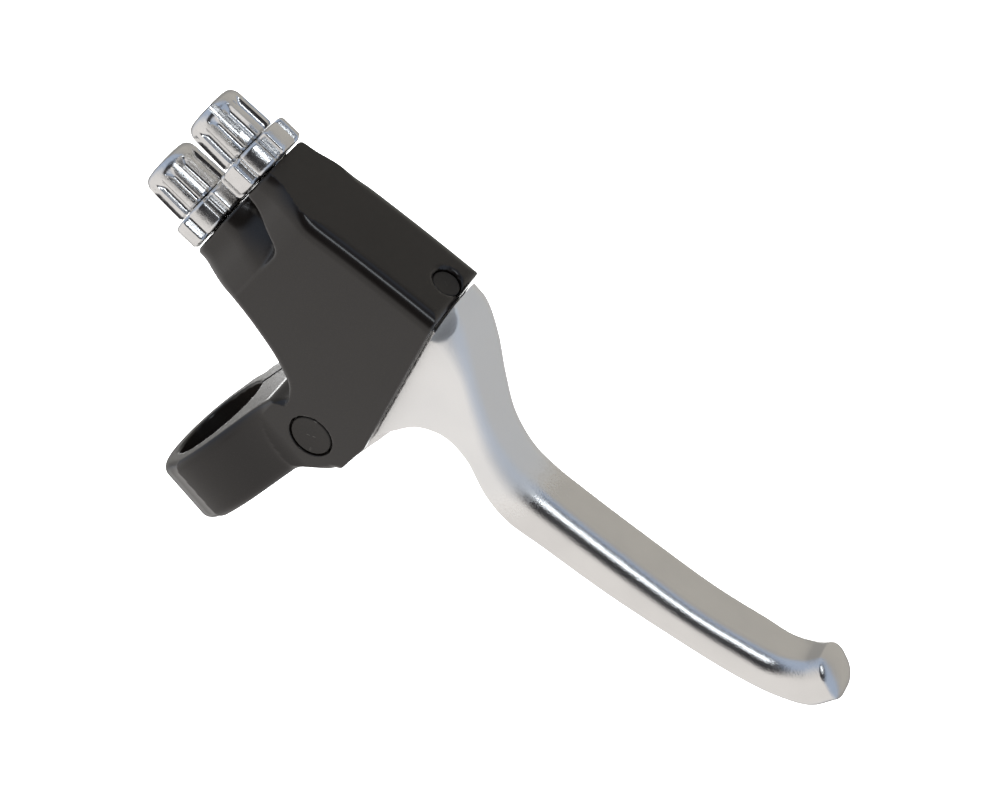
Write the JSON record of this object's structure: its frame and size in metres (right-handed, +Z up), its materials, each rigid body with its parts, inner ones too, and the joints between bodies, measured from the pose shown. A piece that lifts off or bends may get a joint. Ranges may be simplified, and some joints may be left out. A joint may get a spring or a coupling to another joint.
{
  "type": "clutch lever",
  "caption": "Hand lever with a one-piece bar clamp that pulls two cables through an equaliser, with barrel adjusters and lock rings for taking up slack.",
  "frame": {"origin": "on the handlebar's axis, at the middle of the clamp's width", "axes": "+X along the bar towards its end, +Y forward away from the rider, +Z up, square to the large flat face"},
  "size_m": [0.1618, 0.1069, 0.0333],
  "materials": {
    "cast_black": "satin black coating on a zinc or aluminium casting",
    "black_steel": "blackened steel, satin",
    "steel": "zinc-plated steel",
    "cast_bright": "tumbled and polished cast aluminium",
    "polished_aluminium": "satin head and polished blade",
    "brass": "plain turned brass",
    "nylon": "natural nylon"
  },
  "bodies": {
    "housing": {"body_casting": "cast_black", "clamp_bolt": "black_steel", "clamp_washer": "steel", "pivot_pin": "black_steel", "pivot_washer": "steel", "pivot_clip": "black_steel", "lock_hole_plug": "black_steel"},
    "hand_lever": {"lever": "polished_aluminium", "pivot_bush": "brass", "upper_thrust_washer": "nylon", "lower_thrust_washer": "nylon", "return_spring": "steel", "equaliser_pin": "steel", "equaliser_clip": "black_steel"},
    "rocker": {"equaliser": "steel"},
    "rear_trunnion": {"rear_cable_trunnion": "brass"},
    "front_trunnion": {"front_cable_trunnion": "brass"},
    "rear_barrel": {"rear_adjuster": "cast_bright"},
    "front_barrel": {"front_adjuster": "cast_bright"},
    "rear_ring": {"rear_lock_ring": "cast_bright"},
    "front_ring": {"front_lock_ring": "cast_bright"}
  },
  "joints": [
    {"name": "lever_squeeze", "type": "hinge", "parent": "housing", "child": "hand_lever", "pos_m": [0.00284, 0.029, 0], "axis": [0, 0, -1], "range_deg": [0, 26], "stiffness_Nm_per_rad": 0.4, "springref_deg": -11.46, "deforming": ["return_spring"]},
    {"name": "equaliser_balance", "type": "hinge", "parent": "hand_lever", "child": "rocker", "pos_m": [-0.0092, 0.05356, -0.00127], "axis": [0, 0, 1], "range_deg": [-12, 30]},
    {"name": "rear_trunnion_swivel", "type": "hinge", "parent": "rocker", "child": "rear_trunnion", "pos_m": [-0.00773, 0.04439, -0.00127], "axis": [0, 0, 1], "range_deg": [-20, 20]},
    {"name": "front_trunnion_swivel", "type": "hinge", "parent": "rocker", "child": "front_trunnion", "pos_m": [-0.01068, 0.06272, -0.00127], "axis": [0, 0, 1], "range_deg": [-20, 20]},
    {"name": "rear_adjuster_travel", "type": "slide", "parent": "housing", "child": "rear_barrel", "axis": [-0.9874, -0.1585, 0], "range_m": [0, 0.008]},
    {"name": "front_adjuster_travel", "type": "slide", "parent": "housing", "child": "front_barrel", "axis": [-0.9874, -0.1585, 0], "range_m": [0, 0.008]},
    {"name": "rear_lock_ring_turn", "type": "hinge", "parent": "housing", "child": "rear_ring", "pos_m": [-0.04343, 0.03866, -0.00127], "axis": [-0.9874, -0.1585, 0], "continuous": true},
    {"name": "front_lock_ring_turn", "type": "hinge", "parent": "housing", "child": "front_ring", "pos_m": [-0.04637, 0.05699, -0.00127], "axis": [-0.9874, -0.1585, 0], "continuous": true}
  ]
}
